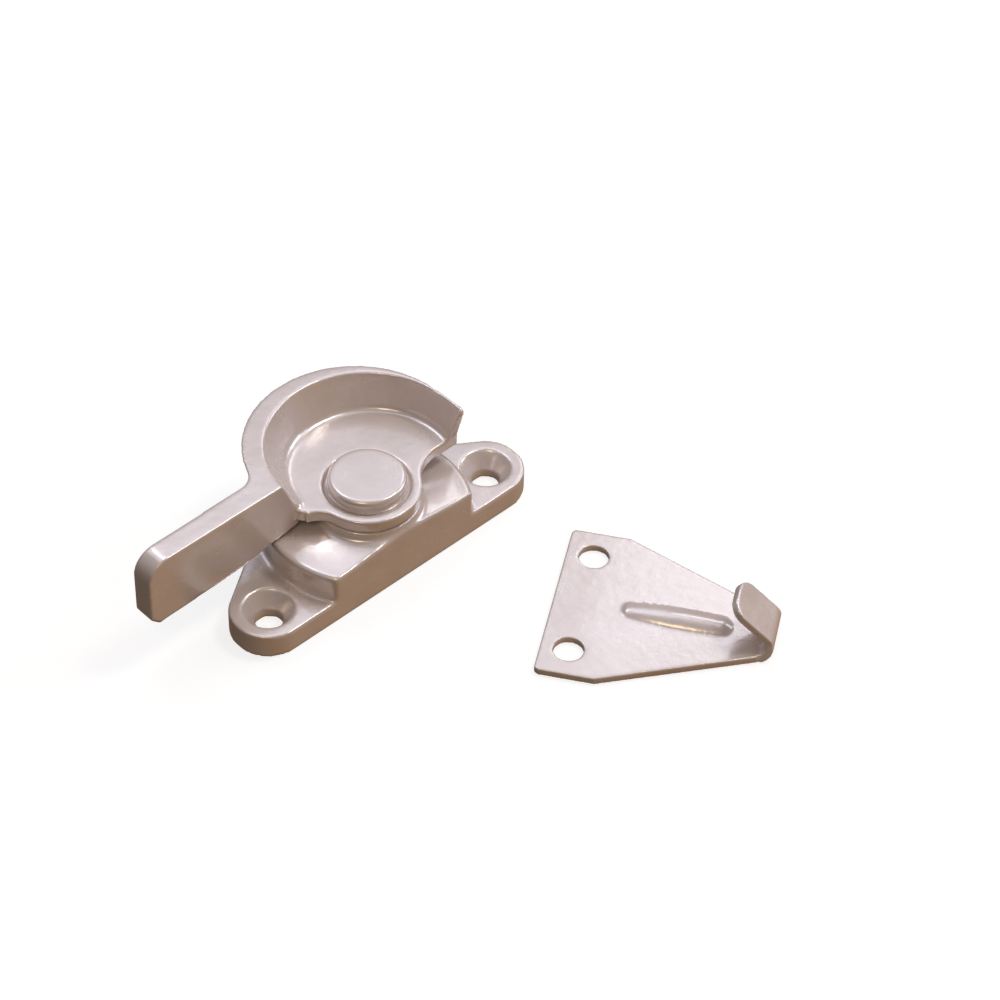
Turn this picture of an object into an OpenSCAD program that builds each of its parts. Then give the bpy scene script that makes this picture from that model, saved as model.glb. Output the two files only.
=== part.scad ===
// Crescent lock for a sliding window, with its keeper plate beside it.
// Millimetres. +Z is up from the mounting face, and +X runs along the base towards the crescent's tip.
// The origin is midway between the two base screws, on the mounting face.
// The rest pose is unlocked: the crescent lies over its own sash, behind the base's flat front.

/* [Base casting] */
// Distance between the two base screws
screw_pitch = 50; // [46:1:60]
// Radius of each rounded ear, which also sets how far the flat front stands from the screw line
ear_r = 6.8; // [6.2:0.1:8]
// Thickness of the ears
ear_h = 4.8; // [4.2:0.1:6]
// Radius of the round body about the pivot
body_r = 18.3; // [17:0.1:20]
// Height of the body at its rim
body_h = 10.2; // [9.6:0.1:12]
// Rise of the body's dished top from its rim to the foot of the pedestal
body_rise = 0.9; // [0.4:0.05:1.2]
// Radius of the pedestal that carries the crescent
pedestal_r = 9.4; // [9:0.1:9.7]
// Height of the pedestal above the foot of its fillet
pedestal_rise = 1.6; // [1.4:0.05:3]
// How far the pivot stands behind the screw line
pivot_y = 3; // [2:0.1:5]
// Wall round the hollow underside
base_wall = 2.2; // [1.6:0.1:2.6]
// Thickness of the body's top over the hollow
top_wall = 2.2; // [1.8:0.1:2.6]
// Rounding of the body's top edge
body_edge_r = 0.7; // [0.4:0.1:1]
// Bore of the screw holes
screw_hole_d = 4.8; // [4.2:0.1:5.6]
// Mouth of each countersink
countersink_d = 9; // [8.4:0.1:10.4]
// Depth of each countersink
countersink_depth = 2.9; // [1.6:0.1:3.2]

/* [Crescent and handle] */
// Radius of the crescent's outer edge at the top of the rim
rim_r = 19.25; // [18.4:0.05:21]
// How much smaller the outer edge is at the foot of the rim
rim_taper = 2.55; // [1.5:0.05:3]
// Height of the rim above the underside of its plate
rim_h = 9.4; // [8:0.1:12]
// Thickness of the plate under the dish
plate_t = 2.4; // [2:0.1:3.2]
// Radius of the plate's nose round the pivot
nose_r = 9.4; // [9.2:0.1:9.7]
// Mean wall of the rim at its top
rim_wall = 1.95; // [1.5:0.05:2.6]
// How much smaller the dish is at its floor than at its top
dish_slope = 3.2; // [2.6:0.1:4]
// How far the rim runs straight on at the tip
tip_run = 6; // [3:0.1:7]
// Distance from the pivot to the handle's tip
handle_reach = 44.4; // [38:0.1:54]
// Thickness of the handle at its root
handle_w = 4.5; // [3.8:0.1:5]
// How far the handle's near face stands behind the pivot
handle_offset = 3.65; // [3:0.05:4.2]
// Depth of the handle at its tip
handle_depth = 13.9; // [11:0.1:15]
// Rounding of the handle's top corner at the tip
tip_round = 4.2; // [2:0.1:5]

/* [Pivot] */
// Shank of the pivot pin
pin_d = 5; // [4:0.1:5.6]
// Head of the pivot pin
head_d = 13.7; // [12:0.1:14.4]
// Height of the head above the dish
head_h = 2; // [1.4:0.1:2.6]
// Width of the sunk ring round the head
head_ring = 0.8; // [0.6:0.05:1.4]
// Depth of that ring
counterbore_depth = 0.8; // [0.2:0.1:1]
// Round hub under the crescent
hub_d = 10.9; // [10:0.1:11.4]
// Wall of the bush round the hub
bush_wall = 1; // [0.8:0.1:1.2]
// Thickness of the bush's flange
flange_t = 0.35; // [0.3:0.05:0.8]
// Radial running clearance of the hub in its bush
running_gap = 0.05; // [0.03:0.01:0.08]

/* [Detent and stop] */
// Depth of each of the hub's two flats
flat_depth = 1.25; // [0.8:0.05:1.6]
// Thickness of each leaf spring
leaf_t = 0.8; // [0.5:0.05:1]
// Width of each leaf spring
leaf_w = 2.9; // [2:0.1:2.9]
// Length of each leaf spring
leaf_length = 19.4; // [18:0.1:20]
// Thickness of the stop plate
stop_t = 1.1; // [0.8:0.1:1.2]
// Radius of the stop plate
stop_r = 7.2; // [6.8:0.1:7.4]
// Reach of the stop plate's tab from the pivot
tab_reach = 12.4; // [11.6:0.1:13.6]
// Width of the stop plate's tab
tab_w = 4; // [3:0.1:4.4]

/* [Keeper plate] */
// Thickness of the keeper's sheet
sheet_t = 1.4; // [1.2:0.1:2]
// Distance between the keeper's two screws
keeper_pitch = 22; // [20:0.5:24]
// Bore of the keeper's screw holes
keeper_hole_d = 5.2; // [4.2:0.1:5.6]
// Width of the keeper along its screw edge
keeper_w = 33.4; // [31:0.1:38]
// Distance from the screw line to the screw edge
keeper_edge = 4.9; // [4.2:0.1:7]
// Length of the square part beyond the screw line
keeper_square = 5.5; // [4.5:0.1:8]
// Distance from the screw line to the start of the hook's bend
bend_start = 31.3; // [29:0.1:36]
// Outside radius of the bend
bend_r = 2.5; // [2.2:0.1:3.4]
// Width of the strip at the start of the bend
neck_w = 11.2; // [10:0.1:12]
// Angle that the strip turns through
bend_angle = 137; // [120:1:145]
// Straight length of the lip
lip_length = 8.7; // [6:0.1:10]
// Width of the lip
lip_w = 8.3; // [7:0.1:9]
// Length of the pressed rib
rib_length = 19.2; // [16:0.1:21]
// Width of the pressed rib
rib_w = 4.9; // [4:0.1:5.6]
// Height of the pressed rib
rib_h = 1.05; // [0.7:0.05:1.4]
// Place of the keeper's screw line beside the lock, along X and along Y, and its turn about Z
keeper_x = 17.4; // [14:0.1:30]
keeper_y = -32.2; // [-50:0.1:-31]
keeper_turn = -55.4; // [-65:0.1:-50]

/* [Hidden] */
$fn = 96;
HULL_FN = 48;          // facets of the discs that the dish's smooth hull is drawn over
OVER = 1;              // how far a cutting solid runs past the face that it cuts
FACE_GAP = 0.05;       // gap between faces that slide on each other
SWEEP_GAP = 0.3;       // least gap between the handle and what it sweeps over

// Base casting
front_y = -ear_r - pivot_y;                  // flat front, measured from the pivot
body_top = body_h + body_rise;               // top of the body at the pedestal's foot
pedestal_top = body_top + pedestal_rise;
pedestal_fillet = 1;
foot_r = pedestal_r + pedestal_fillet;
slope_run = body_r - foot_r;
slope_r = (pow(slope_run, 2) + pow(body_rise, 2)) / (2 * body_rise);
ear_fillet = 0.6;                            // between the body's wall and the ears
ceiling_z = body_h - top_wall;
hollow_r = body_r - base_wall;
hollow_front = front_y + base_wall;

// Pivot
hub_r = hub_d / 2;
hub_flats = hub_d - 2 * flat_depth;
bush_bore_r = hub_r + running_gap;
bush_r = bush_bore_r + bush_wall;
flange_r = nose_r - 0.5;
plate_z = pedestal_top + flange_t + FACE_GAP; // underside of the crescent's plate
floor_z = plate_z + plate_t;                  // floor of the dish
rim_z = plate_z + rim_h;                      // top of the rim and of the handle
head_seat_z = floor_z - counterbore_depth;
counterbore_r = head_d / 2 + head_ring;
pin_r = pin_d / 2;
pin_gap = 0.05;
tail_r = 4;
tail_h = 1.2;
washer_r = 5.2;
washer_t = 0.8;
cone_t = 0.4;                                 // sheet of the disc spring
cone_h = 0.7;                                 // free height of the disc spring
cone_r = 5;
tail_z = 0.8;                                 // lowest point of the formed tail
washer_z = tail_z + tail_h;
cone_z = washer_z + washer_t;
stop_z = cone_z + cone_h;
pad_z = stop_z + stop_t + FACE_GAP;           // underside of the base's bearing pads
shoulder_z = pad_z + FACE_GAP;                // underside of the hub's flatted part
spigot_r = pin_r + 1.4;
spigot_flats = pin_d + 1;
spigot_z = stop_z + 0.2;

// Detent springs, each held at its ends in a cast box
leaf_z = ceiling_z - leaf_w - 0.1;
leaf_bow = 0.35;                              // how far the ends of a leaf stand out from its middle
leaf_bow_r = (pow(leaf_length / 2, 2) + pow(leaf_bow, 2)) / (2 * leaf_bow);
leaf_bow_angle = 2 * asin(leaf_length / 2 / leaf_bow_r);
leaf_y = hub_flats / 2 + FACE_GAP;            // inner face at the middle of the leaf
box_inner_x = stop_r + 0.5;
box_outer_x = leaf_length / 2 + 1.8;
box_rim = 1.3;                                // wall of the box on either side of the leaf
box_inner_y = leaf_y + leaf_bow - box_rim;
box_outer_y = leaf_y + leaf_bow + leaf_t + box_rim;
slot_gap = 0.1;
slot_end_gap = 0.3;
pad_inner_y = hub_r + leaf_t + 0.15;          // room for the middle of the leaf to move out
pad_outer_y = -hollow_front + 0.5;           // the front pad runs into the front wall
pad_half_x = 5;
tab_gap = 0.05;

// Crescent outline, from the pivot
rim_c = [0.2, 3.4];                           // centre of the outer edge, off the pivot
rim_foot_c = [2.35, 2.6];
rim_foot_r = rim_r - rim_taper;
dish_top_r = rim_r - rim_wall;
dish_floor_r = dish_top_r - dish_slope;
dish_top_c = [1.5, 2.2];
dish_tip_c = [2.2, -0.6];                     // the dish's top runs on to here, which thins the rim at the tip
dish_tip_r = dish_top_r - 0.55;
dish_floor_c = [2.9, 1.8];
dish_side_r = dish_floor_r + 1.3;             // where the side meets the fillet
dish_fillet_h = 1.2;
tip_y = -1.5;                                 // front edge of the plate at the crescent's tip
tip_top_y = -3;                               // front edge of the tip at the top of the rim
tip_corner = 0.7;
tip_out = [0.3, 0.7];                         // how far the tip stands out, at the top and at the foot
right_blend_r = 8;
left_blend_r = 4;
root_x = rim_foot_c[0] - rim_foot_r + 1.25;   // left edge of the plate
root_y = 1.4;                                 // front edge of the plate beside the handle
root_corner_r = 2.2;
far_blend_r = 3.75;
handle_far = handle_offset + handle_w;
handle_tip_w = handle_w - 0.2;
step_x = -sqrt(pow(body_r + SWEEP_GAP, 2) - pow(handle_offset, 2)) - 0.1;
handle_low = rim_z - handle_depth;            // underside of the handle at its tip
ramp_x = step_x - 6.2;
ramp_z = handle_low + 0.7;
tip_foot = 1.6;

// Keeper
keeper_half = keeper_w / 2;
bend_inner_r = bend_r - sheet_t;
lip_rise = bend_angle - 90;
lip_corner_r = 2.8;
rib_sink = (pow(rib_w / 2, 2) - pow(rib_h, 2)) / (2 * rib_h);
rib_r = rib_sink + rib_h;
rib_peak = 1.5;                               // how far its highest point is past its middle
rib_fall = 0.55 * rib_h;                      // how much lower it is at the end by the screws
rib_arc_r = (pow(rib_length / 2 + rib_peak, 2) + pow(rib_fall, 2)) / (2 * rib_fall);
rib_end_r = 4.5;
rib_end_run = sqrt(pow(rib_end_r, 2) - pow(rib_end_r - rib_h, 2));
rib_x = bend_start - 14.7;
plate_corner_r = 0.9;

// Point at a distance and an angle from a centre
function polar(centre, r, angle) = centre + r * [cos(angle), sin(angle)];

// Angle at which the outer tangent of two circles touches both, on their +Y side
function tangent_angle(c1, r1, c2, r2) =
    let (d = c1 - c2) atan2(d[1], d[0]) + acos((r2 - r1) / norm(d));

// Centre of an arc of radius r that touches a circle from outside and the line y = line_y,
// on the side of x given by side_x (+1 or -1) and lying on the side of the line given by side_y
function blend_centre(c, r_circle, line_y, r, side_x, side_y) =
    let (y = line_y + side_y * r)
    [c[0] + side_x * sqrt(pow(r_circle + r, 2) - pow(y - c[1], 2)), y];

module at_pivot() translate([0, pivot_y, 0]) children();

module both_ends() for (side = [-1, 1]) scale([side, 1, 1]) children();

// Solid with two flats parallel to X, cut from a cylinder
module flatted(r, flats, h) intersection() {
    cylinder(r = r, h = h);
    translate([-r - OVER, -flats / 2, -OVER]) cube([2 * (r + OVER), flats, h + 2 * OVER]);
}

// ---- Base casting ----

module ears() {
    ear_c = [screw_pitch / 2, 0];
    body_c = [0, pivot_y];
    a = tangent_angle(ear_c, ear_r, body_c, body_r);
    back_ear = polar(ear_c, ear_r, a);
    back_body = polar(body_c, body_r, a);
    for (side = [-1, 1]) translate([side * ear_c[0], 0, 0]) cylinder(r = ear_r, h = ear_h);
    linear_extrude(ear_h) polygon([
        [-ear_c[0], -ear_r], [ear_c[0], -ear_r], back_ear, back_body,
        [-back_body[0], back_body[1]], [-back_ear[0], back_ear[1]]]);
}

// Round body, its dished top and the filleted pedestal, turned about the pivot
module body_turning() rotate_extrude() difference() {
    union() {
        polygon([[0, 0], [body_r + ear_fillet, 0], [body_r + ear_fillet, ear_h], [body_r, ear_h + ear_fillet],
                 [body_r, body_h - body_edge_r], [body_r - body_edge_r, body_h - body_edge_r],
                 [body_r - body_edge_r, body_top], [foot_r, body_top], [pedestal_r, body_top + pedestal_fillet],
                 [pedestal_r, pedestal_top], [0, pedestal_top]]);
        translate([body_r - body_edge_r, body_h - body_edge_r]) circle(r = body_edge_r);
    }
    intersection() {
        translate([body_r, body_h + slope_r]) circle(r = slope_r, $fn = 360);
        translate([foot_r, 0]) square([slope_run + OVER, body_top + OVER]);
    }
    translate([foot_r, body_top + pedestal_fillet]) circle(r = pedestal_fillet);
    translate([body_r + ear_fillet, ear_h + ear_fillet]) circle(r = ear_fillet);
}

module screw_hole() {
    translate([0, 0, -OVER]) cylinder(d = screw_hole_d, h = ear_h + 2 * OVER);
    translate([0, 0, ear_h - countersink_depth])
        cylinder(d1 = screw_hole_d, d2 = countersink_d, h = countersink_depth);
    translate([0, 0, ear_h]) cylinder(d = countersink_d, h = OVER);
}

module underside_hollow() intersection() {
    translate([0, 0, -OVER]) cylinder(r = hollow_r, h = ceiling_z + OVER);
    translate([-hollow_r, hollow_front, -OVER])
        cube([2 * hollow_r, hollow_r - hollow_front, ceiling_z + OVER]);
}

// Cast box that holds one end of a leaf spring, from its floor level up to the ceiling
module spring_box(floor_level, inner_y) difference() {
    translate([box_inner_x, inner_y, floor_level])
        cube([box_outer_x - box_inner_x, box_outer_y - inner_y, ceiling_z - floor_level + 0.5]);
    translate([box_inner_x - OVER, leaf_y - slot_gap, floor_level - OVER])
        cube([leaf_length / 2 + slot_end_gap - box_inner_x + OVER,
              leaf_bow + leaf_t + 2 * slot_gap, ceiling_z - floor_level + OVER]);
}

// The front boxes reach lower than the rear ones, and their inner faces stop the tab at each end of its swing
module inner_blocks() {
    both_ends() spring_box(pad_z, box_inner_y);
    both_ends() mirror([0, 1, 0]) spring_box(stop_z, tab_w / 2 + tab_gap);
    for (side = [-1, 1])
        translate([-pad_half_x, side > 0 ? pad_inner_y : -pad_outer_y, pad_z])
            cube([2 * pad_half_x, pad_outer_y - pad_inner_y, ceiling_z - pad_z + 0.5]);
}

module base_casting() color("tan") {
    difference() {
        union() {
            ears();
            at_pivot() body_turning();
        }
        for (side = [-1, 1]) translate([side * screw_pitch / 2, 0, 0]) screw_hole();
        at_pivot() {
            translate([-2 * body_r, front_y - 2 * body_r, -OVER])
                cube([4 * body_r, 2 * body_r, pedestal_top + 2 * OVER]);
            underside_hollow();
            cylinder(r = bush_r, h = pedestal_top + OVER);
        }
    }
    at_pivot() inner_blocks();
}

// ---- Pivot bush and detent springs ----

module pivot_bush() color("ivory") at_pivot() difference() {
    union() {
        translate([0, 0, ceiling_z]) cylinder(r = bush_r, h = pedestal_top - ceiling_z);
        translate([0, 0, pedestal_top]) cylinder(r = flange_r, h = flange_t);
    }
    translate([0, 0, ceiling_z - OVER]) cylinder(r = bush_bore_r, h = pedestal_top + flange_t);
}

// Leaf bowed about Z, with the middle of its inner face at y = leaf_y
module leaf() translate([0, leaf_y + leaf_bow_r, leaf_z])
    rotate([0, 0, -90 - leaf_bow_angle / 2])
        rotate_extrude(angle = leaf_bow_angle, $fn = 180)
            translate([leaf_bow_r - leaf_t, 0]) square([leaf_t, leaf_w]);

module rear_detent_spring() color("slategray") at_pivot() leaf();

module front_detent_spring() color("slategray") at_pivot() mirror([0, 1, 0]) leaf();

// ---- Crescent and handle ----

// Bowl-shaped space of the dish: its side leans out, more on the handle side than at the tip
module dish_space() {
    side_c = dish_floor_c + 0.2 * (dish_top_c - dish_floor_c);
    fillet_c = dish_floor_c + 0.06 * (dish_top_c - dish_floor_c);
    lip = (dish_top_r - dish_side_r) / (rim_z - floor_z - dish_fillet_h) * OVER;
    tops = [[dish_top_c, dish_top_r], [dish_tip_c, dish_tip_r]];
    hull() {
        translate([dish_floor_c[0], dish_floor_c[1], floor_z])
            cylinder(r = dish_floor_r, h = 0.01, $fn = HULL_FN);
        translate([fillet_c[0], fillet_c[1], floor_z + 0.25 * dish_fillet_h])
            cylinder(r = dish_floor_r + 0.75, h = 0.01, $fn = HULL_FN);
        translate([side_c[0], side_c[1], floor_z + dish_fillet_h])
            cylinder(r = dish_side_r, h = 0.01, $fn = HULL_FN);
        for (top = tops) translate([top[0][0], top[0][1], rim_z + OVER])
            cylinder(r = top[1] + lip, h = 0.01, $fn = HULL_FN);
    }
}

// Crescent rim: a bowl that runs straight on at the tip, cut off at the handle's near face and at the tip
module rim_block() intersection() {
    hull() for (end = [0, 1]) {
        translate([rim_foot_c[0] + end * tip_out[1], rim_foot_c[1] - end * tip_run, plate_z])
            cylinder(r = rim_foot_r, h = 0.01, $fn = HULL_FN);
        translate([rim_c[0] + end * tip_out[0], rim_c[1] - end * tip_run, rim_z - 0.01])
            cylinder(r = rim_r, h = 0.01, $fn = HULL_FN);
    }
    union() {
        translate([-2 * rim_r, handle_offset, plate_z - OVER])
            cube([2 * rim_r, 2 * rim_r, rim_h + 2 * OVER]);
        rotate([90, 0, 90]) linear_extrude(2 * rim_r) polygon([
            [tip_y, plate_z - OVER], [tip_y, floor_z], [tip_top_y, rim_z - tip_corner],
            [tip_top_y + tip_corner, rim_z + 0.01], [tip_top_y + tip_corner, rim_z + OVER],
            [2 * rim_r, rim_z + OVER], [2 * rim_r, plate_z - OVER]]);
    }
}

// Plate under the dish: the nose round the pivot, blended into the lobe on either side
module plate_block() translate([0, 0, plate_z]) {
    right_c = blend_centre([0, 0], nose_r, tip_y, right_blend_r, 1, -1);
    left_c = blend_centre([0, 0], nose_r, root_y, left_blend_r, -1, -1);
    right_foot = polar([0, 0], nose_r, atan2(right_c[1], right_c[0]));
    left_foot = polar([0, 0], nose_r, atan2(left_c[1], left_c[0]));
    cylinder(r = nose_r, h = plate_t);
    translate([root_x + root_corner_r, root_y + root_corner_r, 0]) cylinder(r = root_corner_r, h = plate_t);
    difference() {
        linear_extrude(plate_t) polygon([
            [0, 0], left_foot, [left_c[0], root_y], [root_x + root_corner_r, root_y],
            [root_x + root_corner_r, root_y + root_corner_r], [root_x, root_y + root_corner_r],
            [root_x, handle_offset + OVER],
            [right_c[0], handle_offset + OVER], [right_c[0], tip_y], right_foot]);
        translate([right_c[0], right_c[1], -OVER]) cylinder(r = right_blend_r, h = plate_t + 2 * OVER);
        translate([left_c[0], left_c[1], -OVER]) cylinder(r = left_blend_r, h = plate_t + 2 * OVER);
    }
}

// Handle: its side view extruded across its thickness, and tapered a little on the far side
module handle_block() {
    tip_x = -handle_reach;
    inner_x = root_x + OVER;
    intersection() {
        translate([0, handle_far, 0]) rotate([90, 0, 0]) linear_extrude(handle_w) {
            polygon([[tip_x, rim_z - tip_round], [tip_x, handle_low + tip_foot], [tip_x + tip_foot, handle_low],
                     [ramp_x, ramp_z], [step_x, body_h + SWEEP_GAP], [inner_x, body_top + SWEEP_GAP],
                     [inner_x, rim_z], [tip_x + tip_round, rim_z]]);
            translate([tip_x + tip_round, rim_z - tip_round]) circle(r = tip_round);
        }
        linear_extrude(rim_z + OVER) polygon([
            [tip_x - OVER, handle_offset - OVER], [0, handle_offset - OVER], [0, handle_far],
            [step_x, handle_far], [tip_x - OVER, handle_offset + handle_tip_w]]);
    }
    far_blend();
}

// Concave blend between the handle's far face and the rim, which leans in towards its foot
module far_blend() {
    foot = blend_centre(rim_foot_c, rim_foot_r, handle_far, far_blend_r, -1, 1);
    top = blend_centre(rim_c, rim_r, handle_far, far_blend_r, -1, 1);
    difference() {
        hull() {
            translate([0, 0, plate_z]) linear_extrude(0.01) blend_fill(foot, rim_foot_c, rim_foot_r);
            translate([0, 0, rim_z - 0.01]) linear_extrude(0.01) blend_fill(top, rim_c, rim_r);
        }
        hull() {
            translate([foot[0], foot[1], plate_z - 0.01]) cylinder(r = far_blend_r, h = 0.01, $fn = HULL_FN);
            translate([top[0], top[1], rim_z]) cylinder(r = far_blend_r, h = 0.01, $fn = HULL_FN);
        }
    }
}

// Outline of the metal behind a blend centred at c, between the handle and a circle
module blend_fill(c, circle_c, circle_r) {
    touch = polar(circle_c, circle_r, atan2(c[1] - circle_c[1], c[0] - circle_c[0]));
    polygon([[c[0], handle_far - 0.3], [c[0], handle_far], touch, touch + [OVER, 0],
             [touch[0] + OVER, handle_far - 0.3]]);
}

module hub() {
    cylinder_z = ceiling_z - FACE_GAP;
    translate([0, 0, cylinder_z]) cylinder(r = hub_r, h = plate_z - cylinder_z + plate_t / 2);
    translate([0, 0, shoulder_z]) flatted(hub_r, hub_flats, cylinder_z - shoulder_z);
    translate([0, 0, spigot_z]) flatted(spigot_r, spigot_flats, shoulder_z - spigot_z);
}

module crescent_handle() color("tan") at_pivot() difference() {
    union() {
        difference() {
            union() {
                rim_block();
                plate_block();
                handle_block();
            }
            dish_space();
        }
        hub();
    }
    cylinder(r = pin_r + pin_gap, h = rim_z);
    translate([0, 0, head_seat_z]) cylinder(r = counterbore_r, h = rim_z - head_seat_z);
}

// ---- Turning pieces on the pin ----

// Headed pin with a rounded rim, and its tail formed over the tail washer
module pivot_pin() color("tan") at_pivot() rotate_extrude() {
    head_r = head_d / 2;
    edge = 0.8;
    head_top = floor_z + head_h;
    translate([0, head_seat_z]) square([head_r, head_top - edge - head_seat_z]);
    translate([0, head_top - 2 * edge]) square([head_r - edge, 2 * edge]);
    translate([head_r - edge, head_top - edge]) circle(r = edge);
    translate([0, washer_z]) square([pin_r, head_seat_z - washer_z]);
    polygon([[0, tail_z], [tail_r - 1, tail_z], [tail_r, tail_z + 0.7], [tail_r, washer_z], [0, washer_z]]);
}

// Plate with a tab that meets the base's front boxes at each end of the handle's half turn
module stop_plate() color("silver") at_pivot() translate([0, 0, stop_z]) difference() {
    union() {
        cylinder(r = stop_r, h = stop_t);
        translate([-tab_reach + tab_w / 2, -tab_w / 2, 0]) cube([tab_reach - tab_w / 2, tab_w, stop_t]);
        translate([-tab_reach + tab_w / 2, 0, 0]) cylinder(d = tab_w, h = stop_t);
    }
    translate([0, 0, -OVER]) flatted(spigot_r + pin_gap, spigot_flats + 2 * pin_gap, stop_t + 2 * OVER);
}

// Coned washer that draws the crescent down on its bush
module disc_spring() color("slategray") at_pivot() translate([0, 0, cone_z]) rotate_extrude()
    polygon([[pin_r + 0.2, 0], [cone_r - 0.1, cone_h - cone_t], [cone_r, cone_h - cone_t], [cone_r, cone_h],
             [cone_r - 0.3, cone_h], [pin_r + 0.2, cone_t]]);

module tail_washer() color("silver") at_pivot() translate([0, 0, washer_z]) difference() {
    cylinder(r = washer_r, h = washer_t);
    translate([0, 0, -OVER]) cylinder(r = pin_r + pin_gap, h = washer_t + 2 * OVER);
}

// ---- Keeper plate ----

// Plan of the flat
module keeper_outline() {
    r = plate_corner_r;
    polygon([
        [-keeper_edge + r, -keeper_half], [keeper_square, -keeper_half], [bend_start, -neck_w / 2],
        [bend_start, neck_w / 2], [keeper_square, keeper_half], [-keeper_edge + r, keeper_half],
        [-keeper_edge, keeper_half - r], [-keeper_edge, -keeper_half + r]]);
    for (side = [-1, 1]) translate([-keeper_edge + r, side * (keeper_half - r)]) circle(r = r);
}

// Space of a pressed rib: a spindle sunk into the sheet, slimmer at the screws' end and blunt at both ends
module rib_spindle(shrink) {
    top = rib_r - shrink;
    end_y = rib_length / 2 - rib_end_run;
    translate([rib_x, 0, sheet_t - rib_sink]) rotate([0, 90, 0]) rotate_extrude() intersection() {
        translate([top - rib_arc_r, rib_peak]) circle(r = rib_arc_r, $fn = 360);
        union() {
            translate([0, -end_y]) square([top + OVER, 2 * end_y]);
            for (side = [-1, 1]) intersection() {
                translate([top - rib_end_r, side * end_y]) circle(r = rib_end_r);
                translate([0, side * end_y - rib_end_r]) square([rib_r, 2 * rib_end_r]);
            }
        }
    }
}

// Side view of the sheet: the flat, the bend as a sector of a ring, and the lip that leans back over the flat
module side_profile() {
    far = 2 * bend_r;
    translate([-keeper_edge, 0]) square([keeper_edge + bend_start, sheet_t]);
    translate([bend_start, bend_r]) {
        intersection() {
            difference() {
                circle(r = bend_r);
                circle(r = bend_inner_r);
            }
            polygon([[0, 0], [0, -far], [far, -far], [far, far * tan(lip_rise)]]);
        }
        rotate(lip_rise) translate([bend_inner_r, -0.01]) square([sheet_t, lip_length + 0.01]);
    }
}

// Front view of the hook: it narrows from the neck to the lip
module front_profile() {
    foot_z = bend_r + bend_inner_r * sin(lip_rise);
    top_z = bend_r + bend_r + lip_length;
    polygon([[-neck_w / 2, -OVER], [neck_w / 2, -OVER], [neck_w / 2, 0], [lip_w / 2, foot_z],
             [lip_w / 2, top_z], [-lip_w / 2, top_z], [-lip_w / 2, foot_z], [-neck_w / 2, 0]]);
}

// What is cut away to round the two corners of the lip's free end
module lip_corners() {
    r = lip_corner_r;
    corner = [lip_w / 2 - r, lip_length - r];
    translate([bend_start, 0, bend_r]) rotate([90, 0, 0]) rotate([0, 0, lip_rise])
        translate([bend_inner_r - OVER, 0, 0]) rotate([0, 90, 0]) linear_extrude(sheet_t + 2 * OVER)
            for (side = [-1, 1]) difference() {
                translate([side > 0 ? corner[0] : -corner[0] - r - OVER, corner[1]])
                    square([r + OVER, r + OVER]);
                translate([side * corner[0], corner[1]]) circle(r = r);
            }
}

module keeper_plate() color("gainsboro") translate([keeper_x, keeper_y, 0]) rotate([0, 0, keeper_turn]) {
    difference() {
        union() {
            intersection() {
                translate([0, keeper_half, 0]) rotate([90, 0, 0]) linear_extrude(keeper_w) side_profile();
                union() {
                    linear_extrude(sheet_t) keeper_outline();
                    translate([bend_start, 0, 0]) rotate([90, 0, 90]) translate([0, 0, -bend_start / 2])
                        linear_extrude(bend_start) front_profile();
                }
            }
            intersection() {
                rib_spindle(0);
                translate([0, -rib_w, 0]) cube([bend_start, 2 * rib_w, 2 * sheet_t + rib_h]);
            }
        }
        for (side = [-1, 1]) translate([0, side * keeper_pitch / 2, -OVER])
            cylinder(d = keeper_hole_d, h = sheet_t + 2 * OVER);
        rib_spindle(sheet_t + 0.05);
        lip_corners();
    }
}

base_casting();
pivot_bush();
front_detent_spring();
rear_detent_spring();
crescent_handle();
pivot_pin();
stop_plate();
disc_spring();
tail_washer();
keeper_plate();
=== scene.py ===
import math

import bmesh
import bpy
from mathutils import Matrix, Vector


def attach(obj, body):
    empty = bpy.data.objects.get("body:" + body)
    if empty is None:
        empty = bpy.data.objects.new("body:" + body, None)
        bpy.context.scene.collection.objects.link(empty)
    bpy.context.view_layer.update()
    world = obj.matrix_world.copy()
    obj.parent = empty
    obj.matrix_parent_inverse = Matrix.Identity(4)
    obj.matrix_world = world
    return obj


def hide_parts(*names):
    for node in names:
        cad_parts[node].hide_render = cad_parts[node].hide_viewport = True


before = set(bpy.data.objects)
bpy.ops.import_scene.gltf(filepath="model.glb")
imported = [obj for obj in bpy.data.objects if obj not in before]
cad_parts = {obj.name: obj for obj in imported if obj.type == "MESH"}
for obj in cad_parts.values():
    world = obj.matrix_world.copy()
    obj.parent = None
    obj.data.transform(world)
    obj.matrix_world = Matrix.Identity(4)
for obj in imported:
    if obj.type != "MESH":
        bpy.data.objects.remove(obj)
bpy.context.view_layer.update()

MM = 0.001
WELD = 0.001 * MM          # corners nearer than this are one corner
LAMP_DISTANCE = 0.7        # from the origin to every softbox
FLOOR_REACH = 3.0          # from the middle of the floor to its edge


# ---- Shader maths ----

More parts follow.
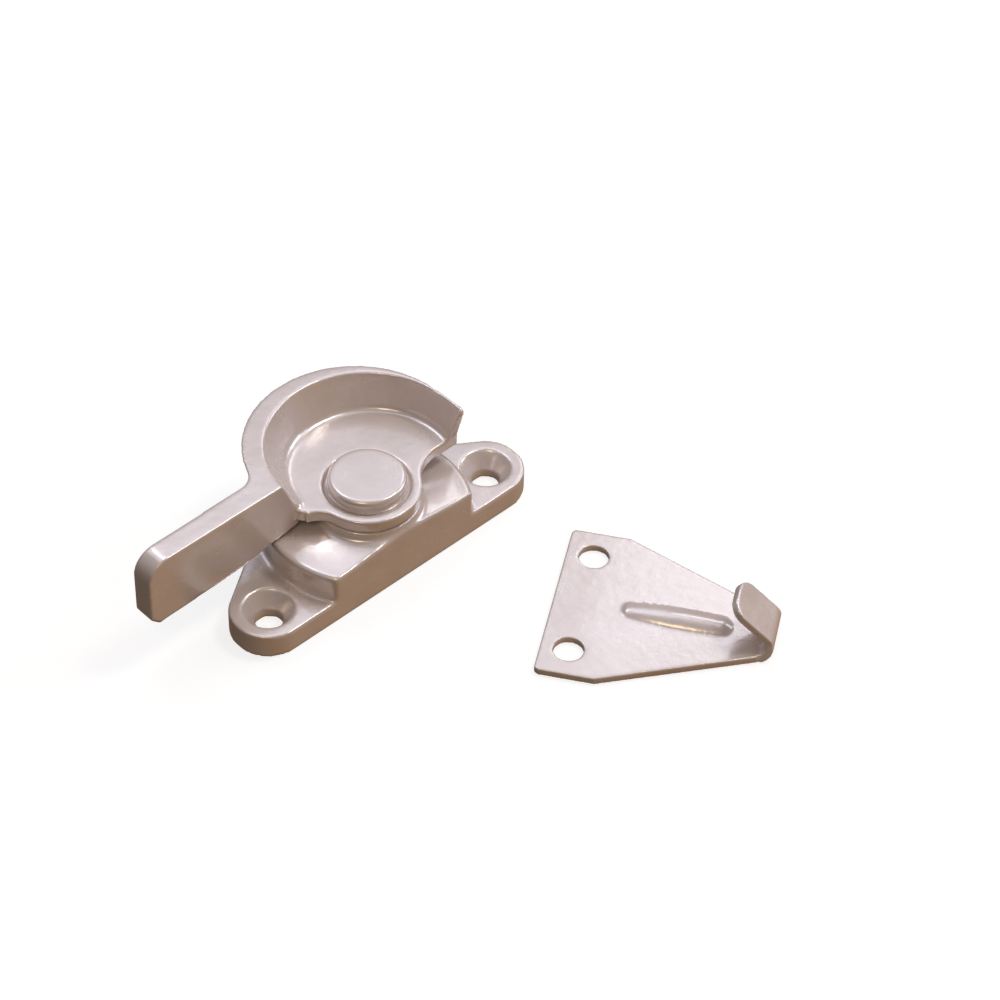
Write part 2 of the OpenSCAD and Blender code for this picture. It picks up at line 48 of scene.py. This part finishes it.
class Value:
    """A number or a socket inside one material, so that shader maths reads as an expression."""

    def __init__(self, tree, socket):
        self.tree = tree
        self.socket = socket

    def node(self, kind, settings=None, inputs=None, output=0):
        """Adds a node, sets it, fills its sockets, and returns one of its outputs."""
        made = self.tree.nodes.new(kind)
        for name, setting in (settings or {}).items():
            setattr(made, name, setting)
        for name, value in (inputs or {}).items():
            fill(self.tree, made.inputs[name], value)
        return Value(self.tree, made.outputs[output])

    def math(self, operation, other=None, swapped=False):
        pair = [self] if other is None else [self, other]
        if swapped:
            pair.reverse()
        return self.node("ShaderNodeMath", {"operation": operation}, dict(enumerate(pair)))

    def __add__(self, other):
        return self.math("ADD", other)

    def __sub__(self, other):
        return self.math("SUBTRACT", other)

    def __mul__(self, other):
        return self.math("MULTIPLY", other)

    def __rsub__(self, other):
        return self.math("SUBTRACT", other, swapped=True)

    __radd__ = __add__
    __rmul__ = __mul__

    def between(self, low, high):
        """0 below low, 1 above high, and an even slope in between."""
        return self.node("ShaderNodeMapRange", {"clamp": True},
                         {"Value": self, "From Min": low, "From Max": high})

    def mix(self, colour_at_0, colour_at_1):
        """A colour, by this value."""
        return self.node("ShaderNodeMix", {"data_type": "RGBA"},
                         {"Factor": self, 6: colour_at_0, 7: colour_at_1}, output=2)


def fill(tree, socket, value):
    """Links a Value to a socket, or sets a plain number, colour or vector on it."""
    if isinstance(value, Value):
        tree.links.new(value.socket, socket)
    elif isinstance(value, tuple) and socket.type == "RGBA" and len(value) == 3:
        socket.default_value = (*value, 1)
    else:
        socket.default_value = value


def new_material(name, **fixed):
    """A material whose shader has fixed sockets set. Returns it, its shader and its coordinates."""
    material = bpy.data.materials.new(name)
    material.use_nodes = True
    tree = material.node_tree
    shader = tree.nodes["Principled BSDF"]
    for socket, value in fixed.items():
        fill(tree, shader.inputs[socket.replace("_", " ")], value)
    place = Value(tree, None).node("ShaderNodeTexCoord", output=3)
    return material, shader, place


def noise(place, size, detail=2.0, roughness=0.5):
    """Noise from 0 to 1 whose grains are about size metres across."""
    return place.node("ShaderNodeTexNoise", {"noise_dimensions": "3D"},
                      {"Vector": place, "Scale": 1 / size, "Detail": detail, "Roughness": roughness})


def bump(height, depth):
    """A normal from a height of 0 to 1 that stands for depth metres."""
    return height.node("ShaderNodeBump", {}, {"Height": height, "Distance": depth, "Strength": 1.0})


# ---- Finishes ----

def champagne_paint(name, peel=1.0):
    """Gloss pearl paint. peel scales its orange peel."""
    pale = (0.73, 0.655, 0.635)
    deep = (0.67, 0.59, 0.565)
    material, shader, place = new_material(
        name, Metallic=0.35, IOR=1.5, Coat_Roughness=0.06, Coat_IOR=1.55, Specular_IOR_Level=0.6)
    tree = material.node_tree
    cloud = noise(place, 7 * MM, 4.0)
    flake = noise(place, 0.2 * MM, 1.0)
    waves = noise(place, 1.7 * MM, 2.0, 0.45)
    pits = noise(place, 0.5 * MM, 1.0)
    tone = (cloud * 0.8 + flake * 0.2).between(0.36, 0.64)
    fill(tree, shader.inputs["Base Color"], tone.mix(deep, pale))
    fill(tree, shader.inputs["Roughness"], 0.2 + 0.12 * cloud)
    fill(tree, shader.inputs["Coat Weight"], 0.45 + 0.25 * waves)
    fill(tree, shader.inputs["Normal"], bump(waves + 0.2 * pits, 0.035 * MM * peel))
    return material


def zinc_plate(name):
    material, shader, place = new_material(name, Metallic=1.0)
    tree = material.node_tree
    spangle = noise(place, 1.2 * MM, 2.0)
    grain = noise(place, 0.15 * MM, 2.0)
    tone = spangle.between(0.3, 0.7)
    fill(tree, shader.inputs["Base Color"], tone.mix((0.52, 0.53, 0.55), (0.66, 0.66, 0.68)))
    fill(tree, shader.inputs["Roughness"], 0.24 + 0.2 * grain)
    fill(tree, shader.inputs["Normal"], bump(grain, 0.004 * MM))
    return material


def spring_steel(name):
    material, shader, place = new_material(name, Metallic=1.0)
    tree = material.node_tree
    oil = noise(place, 3 * MM, 3.0)
    grain = noise(place, 0.2 * MM, 2.0)
    tone = oil.between(0.3, 0.7)
    fill(tree, shader.inputs["Base Color"], tone.mix((0.10, 0.11, 0.14), (0.22, 0.22, 0.24)))
    fill(tree, shader.inputs["Roughness"], 0.22 + 0.25 * oil)
    fill(tree, shader.inputs["Normal"], bump(grain, 0.003 * MM))
    return material


def nylon(name):
    material, shader, place = new_material(
        name, Subsurface_Weight=0.25, Subsurface_Radius=(0.8 * MM, 0.8 * MM, 0.6 * MM), Subsurface_Scale=1.0)
    tree = material.node_tree
    cloud = noise(place, 4 * MM, 2.0)
    grain = noise(place, 0.3 * MM, 2.0)
    fill(tree, shader.inputs["Base Color"], cloud.mix((0.72, 0.70, 0.60), (0.80, 0.78, 0.70)))
    fill(tree, shader.inputs["Roughness"], 0.4 + 0.15 * grain)
    fill(tree, shader.inputs["Normal"], bump(grain, 0.01 * MM))
    return material


# ---- Piece making ----

def finished(piece):
    """The mesh that a piece's modifiers give."""
    seen = piece.evaluated_get(bpy.context.evaluated_depsgraph_get())
    return bpy.data.meshes.new_from_object(seen)


def soft_edged(name, node, grain, passes):
    """A cast or painted skin over a CAD node: the node's own shape, with every edge and corner eased."""
    bm = bmesh.new()
    bm.from_mesh(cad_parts[node].data)
    bmesh.ops.remove_doubles(bm, verts=bm.verts, dist=WELD)
    rough = bpy.data.meshes.new(name)
    bm.to_mesh(rough)
    bm.free()
    piece = bpy.data.objects.new(name, rough)
    bpy.context.scene.collection.objects.link(piece)
    skin = piece.modifiers.new("skin", "REMESH")
    skin.mode = "VOXEL"
    skin.voxel_size = grain
    skin.use_smooth_shade = True
    ease = piece.modifiers.new("ease", "SMOOTH")
    ease.factor = 0.5
    ease.iterations = passes
    smooth = finished(piece)
    piece.modifiers.clear()
    piece.data = smooth
    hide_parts(node)
    return piece


def dress(piece, material):
    piece.data.materials.clear()
    piece.data.materials.append(material)


cast_paint = champagne_paint("champagne_casting")
sheet_paint = champagne_paint("champagne_sheet", peel=1.6)
pin_paint = champagne_paint("champagne_pin", peel=0.7)

# For each skin: its CAD node, its body, its voxel size, its smoothing passes, its paint and its slot.
SKINS = {
    "base": ("base_casting", "base", 0.3 * MM, 7, cast_paint, "champagne_casting"),
    "crescent": ("crescent_handle", "crescent", 0.27 * MM, 6, cast_paint, "champagne_casting"),
    "pin": ("pivot_pin", "crescent", 0.15 * MM, 10, pin_paint, "champagne_pin"),
    "keeper": ("keeper_plate", "keeper", 0.2 * MM, 9, sheet_paint, "champagne_sheet"),
}
for name, (node, body, grain, passes, paint, slot) in SKINS.items():
    piece = soft_edged(name, node, grain, passes)
    dress(piece, paint)
    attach(piece, body)

plating = zinc_plate("zinc_plate")
spring_finish = spring_steel("spring_steel")
bush_nylon = nylon("nylon")
INNER_FINISHES = {
    "pivot_bush": bush_nylon,
    "front_detent_spring": spring_finish,
    "rear_detent_spring": spring_finish,
    "disc_spring": spring_finish,
    "stop_plate": plating,
    "tail_washer": plating,
}
for node, finish in INNER_FINISHES.items():
    dress(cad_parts[node], finish)


# ---- Floor, light and camera ----

def make_floor():
    bm = bmesh.new()
    bmesh.ops.create_grid(bm, x_segments=1, y_segments=1, size=FLOOR_REACH)
    mesh = bpy.data.meshes.new("floor")
    bm.to_mesh(mesh)
    bm.free()
    floor = bpy.data.objects.new("floor", mesh)
    bpy.context.scene.collection.objects.link(floor)
    material, shader, _ = new_material("floor_white", Roughness=1.0, Specular_IOR_Level=0.0)
    fill(material.node_tree, shader.inputs["Base Color"], (0.3, 0.3, 0.3))
    fill(material.node_tree, shader.inputs["Emission Color"], (1.0, 1.0, 1.0))
    shader.inputs["Emission Strength"].default_value = 0.78
    floor.data.materials.append(material)
    floor.visible_diffuse = False
    floor.visible_glossy = False


def softbox(name, direction, width, height, watts, colour):
    """An area light that faces the origin from a direction."""
    data = bpy.data.lights.new(name, "AREA")
    data.shape = "RECTANGLE"
    data.size = width
    data.size_y = height
    data.energy = watts
    data.color = colour
    lamp = bpy.data.objects.new(name, data)
    bpy.context.scene.collection.objects.link(lamp)
    away = Vector(direction).normalized()
    lamp.location = away * LAMP_DISTANCE
    lamp.rotation_mode = "QUATERNION"
    lamp.rotation_quaternion = away.to_track_quat("Z", "Y")


def make_room():
    """A ceiling that brightens towards the back, over walls that are brown in front and dark behind."""
    world = bpy.data.worlds.new("room")
    bpy.context.scene.world = world
    world.use_nodes = True
    tree = world.node_tree
    place = Value(tree, None).node("ShaderNodeTexCoord", output=0)
    x, y, z = [place.node("ShaderNodeSeparateXYZ", {}, {"Vector": place}, output=i) for i in range(3)]
    ceiling = (x + y).between(-1.0, 1.3).mix((0.275, 0.25, 0.25), (0.40, 0.375, 0.40))
    walls = (x - y).between(-1.2, 1.2).mix((0.04, 0.03, 0.025), (0.405, 0.25, 0.125))
    room = z.between(-1.0, -0.8).mix((0.0, 0.0, 0.0), z.between(-0.1, 0.75).mix(walls, ceiling))
    background = tree.nodes["Background"]
    fill(tree, background.inputs["Color"], room)
    background.inputs["Strength"].default_value = 1.0


def make_camera():
    lens = bpy.data.cameras.new("camera")
    lens.sensor_width = 36
    lens.lens = 126
    lens.clip_start = 0.01
    lens.clip_end = 20
    camera = bpy.data.objects.new("camera", lens)
    bpy.context.scene.collection.objects.link(camera)
    turn = math.radians(45.71)
    drop = math.radians(45.58)
    roll = math.radians(1.63)
    look = Vector((math.cos(drop) * math.cos(turn), math.cos(drop) * math.sin(turn), -math.sin(drop)))
    camera.rotation_mode = "QUATERNION"
    camera.rotation_quaternion = look.to_track_quat("-Z", "Y") @ Matrix.Rotation(roll, 3, "Z").to_quaternion()
    camera.location = (-0.27601, -0.31241, 0.43945)
    bpy.context.scene.camera = camera


make_floor()
make_room()
softbox("ceiling_panel", (0.15, 0.45, 0.88), 0.5, 0.35, 0.75, (0.76, 0.82, 1.0))
softbox("back_lamp", (0.14, 0.5, 0.84), 0.1, 0.1, 0.22, (1.0, 1.0, 1.0))
softbox("right_lamp", (0.635, 0.345, 0.69), 0.17, 0.17, 0.26, (0.88, 0.91, 1.0))
softbox("right_panel", (0.8, -0.3, 0.5), 0.3, 0.3, 1.1, (0.73, 0.82, 1.0))
softbox("near_lamp", (0.42, -0.17, 0.88), 0.18, 0.18, 1.35, (1.0, 0.98, 0.9))
softbox("front_lamp", (-0.5, -0.25, 0.8), 0.16, 0.16, 0.54, (1.0, 0.8, 0.5))
make_camera()
bpy.context.scene.view_settings.view_transform = "Standard"
